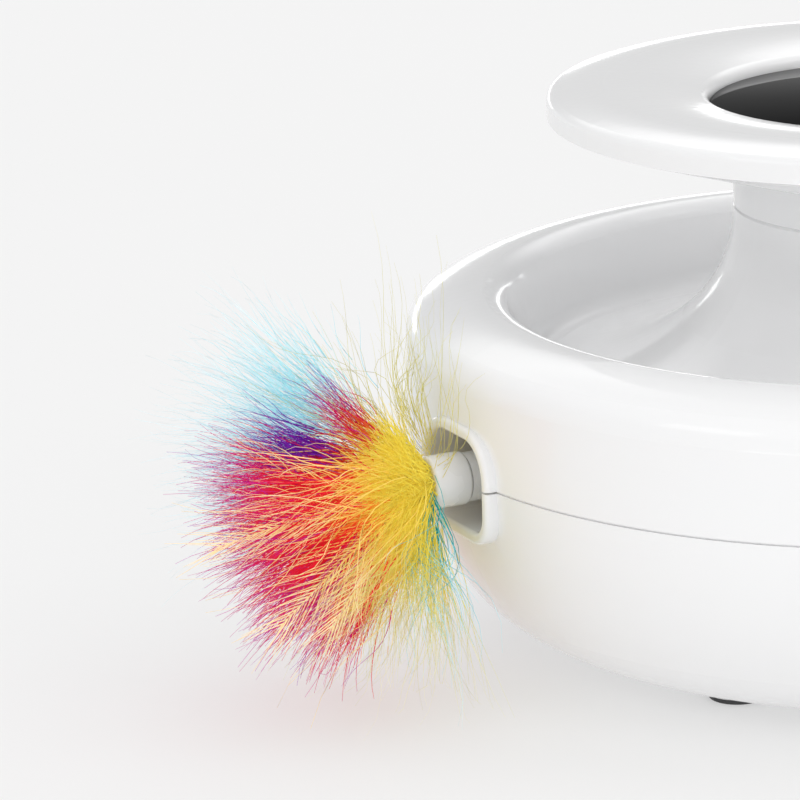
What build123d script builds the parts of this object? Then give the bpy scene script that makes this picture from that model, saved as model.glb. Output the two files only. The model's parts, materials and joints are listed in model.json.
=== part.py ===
import os
from math import acos, atan2, cos, degrees, pi, radians, sin, sqrt, tan

from build123d import *

# Base, track and column
base_radius = 122.0  # widest radius, at the parting line
hull_run = 39.0  # from the widest radius in to where the bowl of the hull turns flat
hull_depth = 51.0  # from the parting line to the flat bottom
shell_wall = 2.6
wall_height = 21.7  # upright wall above the parting line
shoulder_rise = 11.1  # rounded shoulder from the wall to the rim crest
shoulder_run = 19.5  # from the wall in to the rim crest
rim_wall_run = 9.5  # how far the rim's inner wall leans in
track_drop = 21.8  # from the rim crest to the track floor
track_toe_radius = 5.0
track_flat = 0.5
neck_radius = 39.5
seam_rise = 53.0  # seam of the column above the parting line
seam_bevel = 0.5
parting_groove = 0.25  # half of the line that shows between the shells
parting_groove_depth = 0.6

# Windows in the base wall
window_count = 6
window_width = 29.0
window_height = 22.0
window_offset = 0.5  # window centre below the parting line
window_top_corner = 9.0
window_bottom_corner = 5.0
lip_width = 3.0
lip_proud = 1.7  # flat front of the lip past the wall, in the middle of the window
lip_round = 1.3
tunnel_length = 14.0

# Feet
foot_inset = 5.0
foot_boss_radius = 8.0
foot_boss_height = 1.4
foot_pad_radius = 7.0
foot_pad_height = 1.6
foot_pad_round = 0.4
foot_recess = 0.8

# Snap hooks that close the base, between the windows
hook_width = 12.0
hook_thickness = 1.6
hook_standoff = 2.6  # from the wall to the hook
hook_lift = 2.0  # root of the hook above the parting line
hook_root = 5.0
hook_drop = 7.6  # end of the hook below the parting line
hook_barb = 1.6
hook_barb_height = 2.2
catch_height = 2.5

# Cross slots of the screws
screw_slot_reach_share = 0.5  # share of the head's radius
screw_slot_width_share = 0.5  # share of the shank's radius
screw_slot_depth_share = 0.5  # share of the head's height

# Mushroom disc on the column
disc_radius = 85.6
disc_edge_rise = 27.1  # edge above the seam of the column
disc_edge_height = 2.7
disc_crown_run = 14.0  # from the edge in to the crest
disc_crest_rise = 3.8  # crest above the edge
disc_wall = 2.4
disc_rim_width = 3.5
neck_straight = 9.0
neck_spigot = 6.0
neck_wall = 2.4
cap_radius = 45.2
cap_drop = 5.4  # cap edge below the disc crest
cap_crown = 1.2
cap_wall = 2.2
cap_skirt = 3.6
cap_gap = 0.35
cap_travel = 1.6
cap_stop_gap = 0.3
cap_well_depth = 5.5
cap_leg_count = 3
cap_leg_radius = 28.0
cap_leg_thickness = 1.6
cap_leg_toe = 1.6
cap_leg_toe_height = 2.0
cap_leg_arc = 24.0  # degrees of the circle taken by each leg
stem_radius = 3.0
spring_boss_radius = 6.2
spring_boss_height = 4.0

# Switch under the cap
deck_rise = 3.0  # deck above the column seam
deck_wall = 2.4
deck_post_radius = 2.6
deck_post_height = 4.0
deck_post_circle = 10.5
switch_board_radius = 14.0
board_wall = 1.6
switch_side = 6.0
switch_height = 3.5
switch_pin_radius = 1.7
switch_pin_height = 1.0
spring_radius = 8.0
spring_wire_radius = 0.5
spring_turns = 4

# Plunger, rack and guide
tip_radius = 6.5
tip_reach = 9.0  # tip past the base wall
tip_length = 10.0
tip_round = 1.0
sleeve_radius = 6.0
sleeve_length = 8.0
bar_width = 8.0
bar_height = 9.0
bar_tail = 16.8  # tail behind the turning axis
tail_clearance = 1.2  # from the drawn-in bar to the window tunnels, which it turns past
rack_margin = 2.0
guide_gap = 0.3
guide_wall = 4.0
guide_front_gap = 1.0  # from the guide to the drawn-in sleeve
guide_floor = 2.5
guide_flange = 6.0
guide_flange_height = 2.5
cover_height = 2.2
cover_ear_radius = 4.5

# Gears
gear_module = 1.0
pressure_angle = 20.0
tooth_backlash = 0.22
dedendum_share = 1.25
rack_pinion_teeth = 14
drive_wheel_teeth = 24
motor_pinion_teeth = 10
turntable_teeth = 90
sweep_pinion_teeth = 12
drive_gear_station = 8.0  # drive gear along the bar
drive_wheel_height = 4.0
drive_wheel_lift = 1.0
drive_axle_radius = 1.5
drive_axle_seat = 3.0
drive_spacer_radius = 3.0
motor_pinion_angle = 225.0
sweep_motor_angle = 120.0

# Turntable and its post
turntable_height = 4.0
gear_room = 12.0  # from the turntable to the underside of the bar
hub_radius = 9.0
post_radius = 4.0
post_boss_radius = 8.0
post_boss_height = 6.4
post_seat = 4.0
clip_recess = 2.0  # sinks the clip below the top of the turntable
bush_wall = 2.0
thrust_washer_height = 1.0
clip_radius = 6.5
clip_height = 0.8
clip_groove = 0.8
clip_mouth = 4.8

# Motors
motor_radius = 9.0
motor_flat = 7.2  # half of the width across the flats
motor_floor_gap = 7.4  # from the hull floor to the motor on the turntable
motor_nose_radius = 3.0
motor_nose_height = 1.2
motor_shaft_radius = 1.0
motor_cup_wall = 2.0
motor_cup_depth = 11.0
pinion_over = 0.5  # pinion face past the wheel it meets

# Battery bay
cell_count = 3
cell_radius = 7.1
cell_length = 50.0
cell_nub_radius = 2.7
cell_nub_height = 1.2
cell_gap = 0.5
bay_inset = 35.7  # from the widest radius in to the bay
bay_wall = 1.6
bay_end_room = 3.2
contact_wall = 0.4
contact_width = 9.0
door_gap = 0.25
door_tongue_length = 3.0
door_tongue_width = 8.0
door_tongue_height = 1.2
door_screw_radius = 1.3
door_screw_head_radius = 2.4
door_screw_head_height = 1.4
door_screw_length = 9.0
door_ear_radius = 4.0

# Main board
board_length = 38.0
board_width = 48.0
board_inset = 37.0  # from the widest radius in to the board
board_lift = 6.4
board_post_radius = 3.0
board_post_inset = 4.0
board_screw_radius = 1.1
board_screw_head_radius = 2.2
board_screw_head_height = 1.4
board_screw_length = 6.0
chip_side = 9.0
chip_height = 1.6
capacitor_radius = 3.2
capacitor_height = 8.0
plug_block_length = 10.0
plug_block_width = 5.0
plug_block_height = 6.0

# Feather plume
vane_leans = (0.0, 16.0, 38.0, 62.0)  # each ring's lean from the axis, in degrees
vane_counts = (1, 6, 9, 12)  # feathers in each ring
vane_length_shares = (1.0, 0.97, 0.9, 0.8)
plume_length = 74.0
plume_bead_radius = 5.0
vane_half_width = 5.6
vane_root_half_width = 0.5
vane_thickness = 0.7
vane_roll = 45.0  # turn of each feather about its quill, in degrees
vane_widest_share = 0.55
vane_root_share = 0.8  # where a quill starts inside the bead

# Clearances
seat_gap = 0.05
running_gap = 0.05
body_gap = 0.4
cut_overrun = 5.0

# Heights worked out from the sizes above
hull_bottom = foot_pad_height + foot_boss_height
parting = hull_bottom + hull_depth
hull_floor = hull_bottom + shell_wall
wall_top = parting + wall_height
crest = wall_top + shoulder_rise
track_floor = crest - track_drop
seam = parting + seam_rise
disc_edge = seam + disc_edge_rise
disc_underside = disc_edge - disc_edge_height
disc_crest = disc_edge + disc_crest_rise
cap_edge = disc_crest - cap_drop
cap_well_floor = cap_edge - cap_well_depth
deck_top = seam + deck_rise + deck_wall
switch_board_bottom = deck_top + deck_post_height
switch_board_top = switch_board_bottom + board_wall
cap_underside = cap_edge - cap_wall
plunger_height = parting - window_offset
bar_bottom = plunger_height - bar_height / 2
bar_top = plunger_height + bar_height / 2
turntable_top = bar_bottom - gear_room
turntable_bottom = turntable_top - turntable_height
guide_top = bar_top + guide_gap
post_boss_top = hull_floor + post_boss_height
hub_bottom = post_boss_top + thrust_washer_height + running_gap
clip_seat = turntable_top - clip_recess
motor_length = turntable_bottom - hull_floor - motor_floor_gap

# Radii and stations worked out from the sizes above
hull_bottom_radius = base_radius - hull_run
rim_crest_radius = base_radius - shoulder_run
disc_crest_radius = disc_radius - disc_crown_run
track_inner_radius = rim_crest_radius - rim_wall_run - track_toe_radius - track_flat
track_outer_radius = rim_crest_radius - rim_wall_run - track_toe_radius
flare_run = track_inner_radius - neck_radius
flare_top = seam - seam_bevel
flare_drop = flare_top - track_floor
rim_wall_rise = track_drop - track_toe_radius
tip_end = base_radius + tip_reach
tip_start = tip_end - tip_length
sleeve_start = tip_start - sleeve_length
plunger_stroke = base_radius - tunnel_length - tail_clearance - bar_tail
guide_front = sleeve_start - plunger_stroke - guide_front_gap
foot_circle = hull_bottom_radius - foot_inset
hook_outer = base_radius - shell_wall - hook_standoff
hook_end = parting - hook_drop
addendum = gear_module
dedendum = gear_module * dedendum_share
rack_pinion_radius = gear_module * rack_pinion_teeth / 2
drive_wheel_radius = gear_module * drive_wheel_teeth / 2
motor_pinion_radius = gear_module * motor_pinion_teeth / 2
turntable_radius = gear_module * turntable_teeth / 2
sweep_pinion_radius = gear_module * sweep_pinion_teeth / 2
rack_pitch_line = -bar_width / 2 + addendum
drive_gear_side = rack_pitch_line - rack_pinion_radius
drive_wheel_bottom = turntable_top + drive_wheel_lift
drive_wheel_top = drive_wheel_bottom + drive_wheel_height
feather_motor_reach = drive_wheel_radius + motor_pinion_radius
drive_gear_spot = (drive_gear_station, drive_gear_side)
feather_motor_spot = (
    drive_gear_station + feather_motor_reach * cos(radians(motor_pinion_angle)),
    drive_gear_side + feather_motor_reach * sin(radians(motor_pinion_angle)),
)
sweep_motor_reach = turntable_radius + sweep_pinion_radius
sweep_motor_spot = (
    sweep_motor_reach * cos(radians(sweep_motor_angle)),
    sweep_motor_reach * sin(radians(sweep_motor_angle)),
)
bay_width = 2 * cell_radius * cell_count + cell_gap * (cell_count + 1)
bay_length = cell_length + cell_nub_height + 2 * bay_end_room
bay_height = 2 * cell_radius + 2 * cell_gap
bay_center = -(base_radius - bay_inset - bay_wall - bay_width / 2)
board_station = base_radius - board_inset - board_length / 2
window_step = 360 / window_count
board_screw_sizes = (board_screw_radius, board_screw_length, board_screw_head_radius, board_screw_head_height)


def place(x=0.0, y=0.0, z=0.0):
    return Pos(x, y, z)


def rod(radius, bottom, top, x=0.0, y=0.0):
    return place(x, y, (bottom + top) / 2) * Cylinder(radius, top - bottom)


def tube(outer, inner, bottom, top, x=0.0, y=0.0):
    return rod(outer, bottom, top, x, y) - rod(inner, bottom - cut_overrun, top + cut_overrun, x, y)


def block(x_low, x_high, y_low, y_high, z_low, z_high):
    center = place((x_low + x_high) / 2, (y_low + y_high) / 2, (z_low + z_high) / 2)
    return center * Box(x_high - x_low, y_high - y_low, z_high - z_low)


# Quarter of an oval from two round arcs that meet in one tangent
def quarter(center_radius, center_height, run, rise, start):
    if run == rise:
        return [CenterArc((center_radius, center_height), run, start, 90)]
    chord = sqrt(run**2 + rise**2)
    side_radius = (chord**2 - (run - rise) * chord) / (2 * run)
    end_radius = (chord**2 + (run - rise) * chord) / (2 * rise)
    side_angle = degrees(atan2(abs(end_radius - rise), abs(run - side_radius)))
    outward = 1 if start in (0, 270) else -1
    upward = 1 if start in (0, 90) else -1
    side_center = (center_radius + outward * (run - side_radius), center_height)
    end_center = (center_radius, center_height + upward * (rise - end_radius))
    if start in (0, 180):
        side_arc = CenterArc(side_center, side_radius, start, side_angle)
        end_arc = CenterArc(end_center, end_radius, start + side_angle, 90 - side_angle)
    else:
        end_arc = CenterArc(end_center, end_radius, start, 90 - side_angle)
        side_arc = CenterArc(side_center, side_radius, start + 90 - side_angle, side_angle)
    return [side_arc, end_arc]


def turned(edges):
    return revolve(Plane.XZ * make_face(edges), Axis.Z)


def turned_outline(points):
    return turned(Polyline(*points, close=True).edges())


def around(shape, count, first_angle=0.0):
    return [Rot(0, 0, first_angle + index * 360 / count) * shape for index in range(count)]


def joined(shape, extras):
    result = shape
    for extra in extras:
        result = result + extra
    return result


# Solid envelope of the hull, used to trim whatever stands inside it
def hull_envelope():
    edges = [
        *quarter(hull_bottom_radius, parting, hull_run, hull_depth, 270),
        Line((base_radius, parting), (0, parting)),
        Line((0, parting), (0, hull_bottom)),
        Line((0, hull_bottom), (hull_bottom_radius, hull_bottom)),
    ]
    return turned(edges)


def hull_cavity():
    edges = [
        *quarter(hull_bottom_radius, parting, hull_run - shell_wall, hull_depth - shell_wall, 270),
        Line((base_radius - shell_wall, parting), (0, parting)),
        Line((0, parting), (0, hull_floor)),
        Line((0, hull_floor), (hull_bottom_radius, hull_floor)),
    ]
    return turned(edges)


# Window outline, its raised lip and the tunnel behind it
def window_prism(margin, start, end):
    outline = Rectangle(window_width + 2 * margin, window_height + 2 * margin)
    outline = fillet(outline.vertices().group_by(Axis.Y)[-1], window_top_corner + margin)
    outline = fillet(outline.vertices().group_by(Axis.Y)[0], window_bottom_corner + margin)
    plane = Plane(origin=(start, 0, plunger_height), x_dir=(0, 1, 0), z_dir=(1, 0, 0))
    return extrude(plane * outline, amount=end - start)


def window_lip():
    start = base_radius - tunnel_length
    end = base_radius + lip_proud
    lip = window_prism(lip_width, start, end) - window_prism(0, start - cut_overrun, end + cut_overrun)
    return fillet(lip.faces().sort_by(Axis.X)[-1].edges(), lip_round)


def parting_line(bottom, top):
    inner = base_radius - parting_groove_depth
    outer = base_radius + lip_proud + cut_overrun
    return tube(outer, inner, bottom, top)


def windows_cut(shell, lip_half):
    opening = window_prism(0, base_radius - tunnel_length, base_radius + cut_overrun)
    shell = shell - around(opening, window_count)
    return joined(shell, around(lip_half, window_count))


# Hook on the upper shell, and the ledge of the lower shell that its barb catches
def snap_hook():
    inner = hook_outer - hook_thickness
    wall_middle = base_radius - shell_wall / 2
    root_bottom = parting + hook_lift
    barb_top = hook_end + hook_barb_height
    profile = Polyline(
        (inner, hook_end),
        (hook_outer, hook_end),
        (hook_outer + hook_barb, barb_top),
        (hook_outer, barb_top),
        (hook_outer, root_bottom),
        (wall_middle, root_bottom),
        (wall_middle, root_bottom + hook_root),
        (inner, root_bottom + hook_root),
        close=True,
    )
    return extrude(Plane.XZ * make_face(profile.edges()), amount=hook_width / 2, both=True)


def snap_catch():
    bottom = hook_end + hook_barb_height + body_gap
    reach = hook_width / 2
    ledge = block(hook_outer + body_gap, base_radius, -reach, reach, bottom, bottom + catch_height)
    return ledge & hull_envelope()


def upper_shell():
    toe_center = track_floor + track_toe_radius
    toe_under = track_toe_radius + shell_wall
    under = track_floor - shell_wall
    edges = [
        Line((base_radius, parting), (base_radius, wall_top)),
        *quarter(rim_crest_radius, wall_top, shoulder_run, shoulder_rise, 0),
        *quarter(rim_crest_radius, toe_center, rim_wall_run, rim_wall_rise, 90),
        *quarter(track_outer_radius, toe_center, track_toe_radius, track_toe_radius, 270),
        Line((track_outer_radius, track_floor), (track_inner_radius, track_floor)),
        *quarter(track_inner_radius, flare_top, flare_run, flare_drop, 180),
        Line((neck_radius, flare_top), (neck_radius - seam_bevel, seam)),
        Line((neck_radius - seam_bevel, seam), (neck_radius - shell_wall, seam)),
        Line((neck_radius - shell_wall, seam), (neck_radius - shell_wall, flare_top)),
        *quarter(track_inner_radius, flare_top, flare_run + shell_wall, flare_drop + shell_wall, 180),
        Line((track_inner_radius, under), (track_outer_radius, under)),
        *quarter(track_outer_radius, toe_center, toe_under, toe_under, 270),
        *quarter(rim_crest_radius, toe_center, rim_wall_run - shell_wall, rim_wall_rise - shell_wall, 90),
        *quarter(rim_crest_radius, wall_top, shoulder_run - shell_wall, shoulder_rise - shell_wall, 0),
        Line((base_radius - shell_wall, wall_top), (base_radius - shell_wall, parting)),
        Line((base_radius - shell_wall, parting), (base_radius, parting)),
    ]
    shell = turned(edges)
    upper_half = block(0, 2 * base_radius, -base_radius, base_radius, parting, crest)
    shell = windows_cut(shell, window_lip() & upper_half)
    shell = joined(shell, around(snap_hook(), window_count, window_step / 2))
    return shell - parting_line(parting, parting + parting_groove)


def lower_shell():
    shell = hull_envelope() - hull_cavity()
    lower_half = block(0, 2 * base_radius, -base_radius, base_radius, hull_bottom, parting)
    shell = windows_cut(shell, window_lip() & lower_half)
    shell = joined(shell, around(snap_catch(), window_count, window_step / 2))
    # Foot bosses under the hull
    foot = rod(foot_boss_radius, foot_pad_height, hull_floor, foot_circle)
    socket = rod(foot_pad_radius + seat_gap, 0, foot_pad_height + foot_recess, foot_circle)
    shell = joined(shell, around(foot, window_count, window_step / 2))
    shell = shell - around(socket, window_count, window_step / 2)
    # Boss of the turning post, cup of the sweep motor and posts of the board
    shell = shell + rod(post_boss_radius, hull_bottom, post_boss_top)
    shell = shell - rod(post_radius + seat_gap, post_boss_top - post_seat, post_boss_top + cut_overrun)
    cup_radius = motor_radius + motor_cup_wall
    cup_top = hull_floor + motor_cup_depth
    cup = tube(cup_radius, motor_radius + seat_gap, hull_bottom, cup_top, *sweep_motor_spot)
    shell = shell + (cup & hull_envelope())
    post_top = hull_floor + board_lift
    for x, y in board_post_places():
        post = rod(board_post_radius, hull_bottom, post_top, x, y)
        hole = rod(board_screw_radius + seat_gap, hull_floor + seat_gap, post_top + cut_overrun, x, y)
        shell = shell + (post & hull_envelope()) - hole
    shell = battery_bay(shell)
    return shell - parting_line(parting - parting_groove, parting)


def board_post_places():
    x_reach = board_length / 2 - board_post_inset
    y_reach = board_width / 2 - board_post_inset
    return [(board_station + i * x_reach, j * y_reach) for i in (-1, 1) for j in (-1, 1)]


# The bay opens downwards through the flat bottom of the hull
def bay_block(margin, bottom, top):
    x_reach = bay_width / 2 + margin
    y_reach = bay_length / 2 + margin
    return block(bay_center - x_reach, bay_center + x_reach, -y_reach, y_reach, bottom, top)


def door_screw_station():
    return bay_center + bay_width / 2 + door_ear_radius


def door_ear(margin, bottom, top):
    reach = door_ear_radius + margin
    station = door_screw_station()
    return rod(reach, bottom, top, station) + block(bay_center, station, -reach, reach, bottom, top)


def battery_bay(shell):
    roof = hull_floor + bay_height
    walls = bay_block(bay_wall, hull_bottom, roof + bay_wall) & hull_envelope()
    post = rod(door_ear_radius, hull_bottom, hull_floor + door_screw_length, door_screw_station())
    shell = shell + walls + post
    shell = shell - bay_block(0, hull_bottom - cut_overrun, roof)
    ear = door_ear(door_gap, hull_bottom - cut_overrun, hull_floor)
    hole_top = hull_floor + door_screw_length - bay_wall
    hole = rod(door_screw_radius + seat_gap, hull_bottom, hole_top, door_screw_station())
    tongue_x = bay_center - bay_width / 2 - door_tongue_length - door_gap
    slot_reach = door_tongue_width / 2 + door_gap
    tongue_top = hull_floor + door_tongue_height + door_gap
    slot = block(tongue_x, bay_center, -slot_reach, slot_reach, hull_floor, tongue_top)
    return shell - ear - hole - slot


def battery_door():
    plate = bay_block(-door_gap, hull_bottom, hull_floor)
    plate = plate + door_ear(0, hull_bottom, hull_floor - door_gap)
    tongue_x = bay_center - bay_width / 2 - door_tongue_length
    tongue_reach = door_tongue_width / 2
    tongue_top = hull_floor + door_tongue_height
    root = bay_center - bay_width / 2 + door_tongue_length
    tongue = block(tongue_x, root, -tongue_reach, tongue_reach, hull_floor, tongue_top)
    plate = (plate & hull_envelope()) + tongue
    head_top = hull_bottom + door_screw_head_height
    head_radius = door_screw_head_radius + door_gap
    head = rod(head_radius, hull_bottom - cut_overrun, head_top, door_screw_station())
    shank = rod(door_screw_radius + seat_gap, hull_bottom, hull_floor + cut_overrun, door_screw_station())
    return plate - head - shank


def screw(sizes, x, y, head_z, upward):
    radius, length, head_radius, head_height = sizes
    sense = 1 if upward else -1
    tip = head_z + sense * length
    shank = rod(radius, min(head_z, tip), max(head_z, tip), x, y)
    head_low = min(head_z, head_z - sense * head_height)
    head = rod(head_radius, head_low, head_low + head_height, x, y)
    slot_reach = head_radius * screw_slot_reach_share
    slot_half = radius * screw_slot_width_share / 2
    slot_depth = head_height * screw_slot_depth_share
    slot_low = head_low if upward else head_low + head_height - slot_depth
    cross = block(-slot_reach, slot_reach, -slot_half, slot_half, slot_low, slot_low + slot_depth)
    cross = cross + Rot(0, 0, 90) * cross
    return shank + head - place(x, y) * cross


def door_screw():
    length = door_screw_length - bay_wall
    sizes = (door_screw_radius, length, door_screw_head_radius, door_screw_head_height)
    return screw(sizes, door_screw_station(), 0, hull_bottom + door_screw_head_height, True)


def foot_pads():
    pad = rod(foot_pad_radius, 0, foot_pad_height + foot_recess, foot_circle)
    pad = fillet(pad.edges().group_by(Axis.Z)[0], foot_pad_round)
    return Compound(children=around(pad, window_count, window_step / 2))


# Three round cells side by side, button ends alternating
def cell_places():
    step = 2 * cell_radius + cell_gap
    first = bay_center - step * (cell_count - 1) / 2
    return [(first + index * step, 1 if index % 2 == 0 else -1) for index in range(cell_count)]


def battery_cells():
    height = hull_floor + cell_radius + cell_gap
    cells = []
    for x, sense in cell_places():
        can = Cylinder(cell_radius, cell_length)
        nub = place(0, 0, (cell_length + cell_nub_height) / 2) * Cylinder(cell_nub_radius, cell_nub_height)
        cells.append(place(x, 0, height) * Rot(-90 * sense, 0, 0) * (can + nub))
    return Compound(children=cells)


# Bent leaf contacts at both ends of the bay, one facing each cell end
def battery_contacts():
    height = hull_floor + cell_radius + cell_gap
    leaves = []
    for x, sense in cell_places():
        for side in (-1, 1):
            end = cell_length / 2 + (cell_nub_height if side == sense else 0) + seat_gap
            wall = bay_length / 2
            room = wall - end
            outline = Polyline(
                (wall, -contact_width / 2),
                (wall, contact_width / 2),
                (wall - contact_wall, contact_width / 2),
                (wall - room, contact_wall),
                (wall - room, -contact_wall),
                (wall - contact_wall, -contact_width / 2),
                close=True,
            )
            leaf = extrude(Plane.YZ * make_face(outline.edges()), amount=contact_width / 2, both=True)
            leaf = leaf if side > 0 else Rot(0, 0, 180) * leaf
            leaves.append(place(x, 0, height) * leaf)
    return Compound(children=leaves)


def main_board():
    bottom = hull_floor + board_lift
    top = bottom + board_wall
    x_low = board_station - board_length / 2
    x_high = board_station + board_length / 2
    board = block(x_low, x_high, -board_width / 2, board_width / 2, bottom, top)
    for x, y in board_post_places():
        board = board - rod(board_screw_radius + seat_gap, bottom - cut_overrun, top + cut_overrun, x, y)
    half_chip = chip_side / 2
    chip_top = top + chip_height
    chip = block(board_station - half_chip, board_station + half_chip, -half_chip, half_chip, top, chip_top)
    capacitor_x = x_high - capacitor_radius - board_post_inset
    capacitor = rod(capacitor_radius, top, top + capacitor_height, capacitor_x)
    half_plug = plug_block_length / 2
    plug = block(x_low, x_low + plug_block_width, -half_plug, half_plug, top, top + plug_block_height)
    return board + chip + capacitor + plug


def board_screws():
    seat = hull_floor + board_lift + board_wall
    screws = [screw(board_screw_sizes, x, y, seat, False) for x, y in board_post_places()]
    return Compound(children=screws)


# Neck above the seam, flaring out to carry the edge of the disc
def neck_sleeve():
    straight_top = seam + neck_straight
    rim_inner = disc_radius - disc_rim_width
    spigot_radius = neck_radius - shell_wall - seat_gap
    spigot_inner = spigot_radius - neck_wall
    points = [
        (neck_radius - seam_bevel, seam),
        (neck_radius, seam + parting_groove),
        (neck_radius, straight_top),
        (rim_inner, disc_underside - neck_wall),
        (disc_radius, disc_underside - neck_wall / 2),
        (disc_radius, disc_underside),
        (rim_inner, disc_underside),
        (spigot_inner, straight_top + neck_wall),
        (spigot_inner, deck_top),
        (0, deck_top),
        (0, deck_top - deck_wall),
        (spigot_inner, deck_top - deck_wall),
        (spigot_inner, seam - neck_spigot),
        (spigot_radius, seam - neck_spigot),
        (spigot_radius, seam),
    ]
    sleeve = turned_outline(points)
    post = rod(deck_post_radius, deck_top, switch_board_bottom, deck_post_circle)
    return joined(sleeve, around(post, cap_leg_count))


# Saucer with a rounded crown, a funnel down to the cap and a well under the cap
def top_disc():
    bore = cap_radius
    funnel_run = disc_crest_radius - bore
    rim_inner = disc_radius - disc_rim_width
    rim_run = disc_crown_run - disc_rim_width
    bore_outer = bore + disc_wall
    hole = cap_leg_radius + cap_leg_toe + body_gap
    under_run = disc_crest_radius - bore_outer
    edges = [
        Line((disc_radius, disc_underside), (disc_radius, disc_edge)),
        *quarter(disc_crest_radius, disc_edge, disc_crown_run, disc_crest_rise, 0),
        *quarter(disc_crest_radius, disc_crest - cap_drop, funnel_run, cap_drop, 90),
        Line((bore, cap_edge), (bore, cap_well_floor)),
        Line((bore, cap_well_floor), (hole, cap_well_floor)),
        Line((hole, cap_well_floor), (hole, cap_well_floor - disc_wall)),
        Line((hole, cap_well_floor - disc_wall), (bore_outer, cap_well_floor - disc_wall)),
        Line((bore_outer, cap_well_floor - disc_wall), (bore_outer, cap_edge - disc_wall)),
        *quarter(disc_crest_radius, cap_edge - disc_wall, under_run, cap_drop, 90),
        *quarter(disc_crest_radius, disc_edge - disc_wall, rim_run, disc_crest_rise, 0),
        Line((rim_inner, disc_edge - disc_wall), (rim_inner, disc_underside)),
        Line((rim_inner, disc_underside), (disc_radius, disc_underside)),
    ]
    return turned(edges)


# Glossy press cap with a guiding skirt, a switch stem and three snap legs
def centre_cap():
    radius = cap_radius - cap_gap
    crown_radius = (radius**2 + cap_crown**2) / (2 * cap_crown)
    crown_angle = degrees(acos((crown_radius - cap_crown) / crown_radius))
    crown_center = cap_edge + cap_crown - crown_radius
    inner = radius - cap_wall
    skirt_bottom = cap_edge - cap_skirt
    edges = [
        CenterArc((0, crown_center), crown_radius, 90, -crown_angle),
        Line((radius, cap_edge), (radius, skirt_bottom)),
        Line((radius, skirt_bottom), (inner, skirt_bottom)),
        Line((inner, skirt_bottom), (inner, cap_underside)),
        Line((inner, cap_underside), (0, cap_underside)),
        Line((0, cap_underside), (0, cap_edge + cap_crown)),
    ]
    cap = turned(edges)
    switch_top = switch_board_top + switch_height + switch_pin_height
    stem_bottom = switch_top + cap_travel + seat_gap
    cap = cap + rod(spring_boss_radius, cap_underside - spring_boss_height, cap_underside + cap_wall / 2)
    cap = cap + rod(stem_radius, stem_bottom, cap_underside)
    toe_top = cap_well_floor - disc_wall - cap_stop_gap
    leg_inner = cap_leg_radius - cap_leg_thickness
    profile = Polyline(
        (leg_inner, cap_underside + cap_wall / 2),
        (cap_leg_radius, cap_underside + cap_wall / 2),
        (cap_leg_radius, toe_top),
        (cap_leg_radius + cap_leg_toe, toe_top),
        (cap_leg_radius, toe_top - cap_leg_toe_height),
        (leg_inner, toe_top - cap_leg_toe_height),
        close=True,
    )
    leg = revolve(Plane.XZ * make_face(profile.edges()), Axis.Z, cap_leg_arc)
    return joined(cap, around(leg, cap_leg_count))


def cap_spring():
    bottom = switch_board_top
    top = cap_underside
    rise = top - bottom - 2 * spring_wire_radius - 2 * seat_gap
    path = Helix(rise / spring_turns, rise, spring_radius)
    section = Plane(origin=path @ 0, z_dir=path % 0) * Circle(spring_wire_radius)
    return place(0, 0, bottom + spring_wire_radius + seat_gap) * sweep(section, path)


def switch_board():
    return rod(switch_board_radius, switch_board_bottom, switch_board_top)


def cap_switch():
    half = switch_side / 2
    body = block(-half, half, -half, half, switch_board_top, switch_board_top + switch_height)
    pin_top = switch_board_top + switch_height + switch_pin_height
    return body + rod(switch_pin_radius, switch_board_top + switch_height, pin_top)


# Straight sided gear outline on an involute half thickness
def gear_face(teeth, phase):
    pitch_radius = gear_module * teeth / 2
    base_circle = pitch_radius * cos(radians(pressure_angle))
    root = pitch_radius - dedendum
    tip = pitch_radius + addendum
    flank_foot = max(root, base_circle)

    def involute(radius):
        angle = acos(base_circle / radius)
        return tan(angle) - angle

    half_pitch_angle = pi / (2 * teeth) - tooth_backlash / (4 * pitch_radius)
    half_foot = half_pitch_angle + involute(pitch_radius) - involute(flank_foot)
    half_tip = half_pitch_angle + involute(pitch_radius) - involute(tip)
    points = []
    for index in range(teeth):
        middle = radians(phase) + 2 * pi * index / teeth
        for radius, offset in ((root, -half_foot), (tip, -half_tip), (tip, half_tip), (root, half_foot)):
            points.append((radius * cos(middle + offset), radius * sin(middle + offset)))
    return make_face(Polyline(*points, close=True).edges())


def gear(teeth, phase, bottom, top, x=0.0, y=0.0):
    return place(x, y, bottom) * extrude(gear_face(teeth, phase), amount=top - bottom)


# Turning post with its boss seat, thrust washer and retaining clip
def centre_post():
    post = rod(post_radius, post_boss_top - post_seat, turntable_top)
    bottom = clip_seat + running_gap
    groove = tube(post_radius + cut_overrun, post_radius - clip_groove, bottom, bottom + clip_height)
    return post - groove


def post_clip():
    bottom = clip_seat + running_gap
    ring = tube(clip_radius, post_radius - clip_groove + seat_gap, bottom, bottom + clip_height)
    half_mouth = clip_mouth / 2
    end = clip_radius + cut_overrun
    return ring - block(0, end, -half_mouth, half_mouth, bottom - cut_overrun, bottom + cut_overrun)


def thrust_washer():
    top = post_boss_top + thrust_washer_height
    return tube(post_boss_radius, post_radius + running_gap, post_boss_top, top)


def turntable_bush():
    return tube(post_radius + bush_wall, post_radius + running_gap, hub_bottom, clip_seat)


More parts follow.
